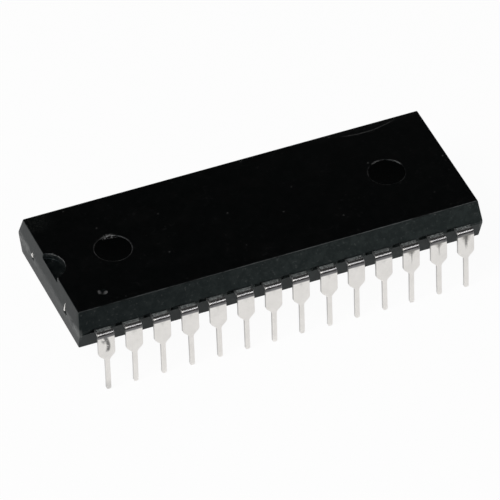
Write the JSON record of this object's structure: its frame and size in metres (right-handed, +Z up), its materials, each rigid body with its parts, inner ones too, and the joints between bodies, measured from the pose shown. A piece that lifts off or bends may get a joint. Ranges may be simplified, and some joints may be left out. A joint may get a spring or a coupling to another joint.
{
  "type": "dual in-line chip package",
  "caption": "Black moulded dual in-line chip package with an end notch and a first-lead dimple, standing on two rows of formed and tinned leads, its die and bond wires sealed inside.",
  "frame": {"origin": "middle of the plane that the lead tips stand on, below the middle of the body", "axes": "+X along the body, away from the notched end; +Z up, out of the top face; the first lead is at -X, -Y"},
  "size_m": [0.0372, 0.0164, 0.0078],
  "materials": {
    "moulding_compound": "satin black epoxy moulding compound with a fine grain",
    "tinned_frame_metal": "solder-dipped sheet, satin, brighter at the bend",
    "bare_frame_metal": "bare nickel-iron sheet, a little duller than the leads",
    "silver_attach": "silver-filled epoxy, matt",
    "silicon": "polished",
    "gold_wire": "bright drawn gold wire"
  },
  "bodies": {
    "root": {"moulded_body": "moulding_compound", "die_paddle": "bare_frame_metal", "die_attach": "silver_attach", "silicon_die": "silicon", "lead_01": "tinned_frame_metal", "lead_02": "tinned_frame_metal", "lead_03": "tinned_frame_metal", "lead_04": "tinned_frame_metal", "lead_05": "tinned_frame_metal", "lead_06": "tinned_frame_metal", "lead_07": "tinned_frame_metal", "lead_08": "tinned_frame_metal", "lead_09": "tinned_frame_metal", "lead_10": "tinned_frame_metal", "lead_11": "tinned_frame_metal", "lead_12": "tinned_frame_metal", "lead_13": "tinned_frame_metal", "lead_14": "tinned_frame_metal", "lead_15": "tinned_frame_metal", "lead_16": "tinned_frame_metal", "lead_17": "tinned_frame_metal", "lead_18": "tinned_frame_metal", "lead_19": "tinned_frame_metal", "lead_20": "tinned_frame_metal", "lead_21": "tinned_frame_metal", "lead_22": "tinned_frame_metal", "lead_23": "tinned_frame_metal", "lead_24": "tinned_frame_metal", "lead_25": "tinned_frame_metal", "lead_26": "tinned_frame_metal", "lead_27": "tinned_frame_metal", "lead_28": "tinned_frame_metal", "bond_wire_01": "gold_wire", "bond_wire_02": "gold_wire", "bond_wire_03": "gold_wire", "bond_wire_04": "gold_wire", "bond_wire_05": "gold_wire", "bond_wire_06": "gold_wire", "bond_wire_07": "gold_wire", "bond_wire_08": "gold_wire", "bond_wire_09": "gold_wire", "bond_wire_10": "gold_wire", "bond_wire_11": "gold_wire", "bond_wire_12": "gold_wire", "bond_wire_13": "gold_wire", "bond_wire_14": "gold_wire", "bond_wire_15": "gold_wire", "bond_wire_16": "gold_wire", "bond_wire_17": "gold_wire", "bond_wire_18": "gold_wire", "bond_wire_19": "gold_wire", "bond_wire_20": "gold_wire", "bond_wire_21": "gold_wire", "bond_wire_22": "gold_wire", "bond_wire_23": "gold_wire", "bond_wire_24": "gold_wire", "bond_wire_25": "gold_wire", "bond_wire_26": "gold_wire", "bond_wire_27": "gold_wire", "bond_wire_28": "gold_wire"}
  },
  "joints": []
}
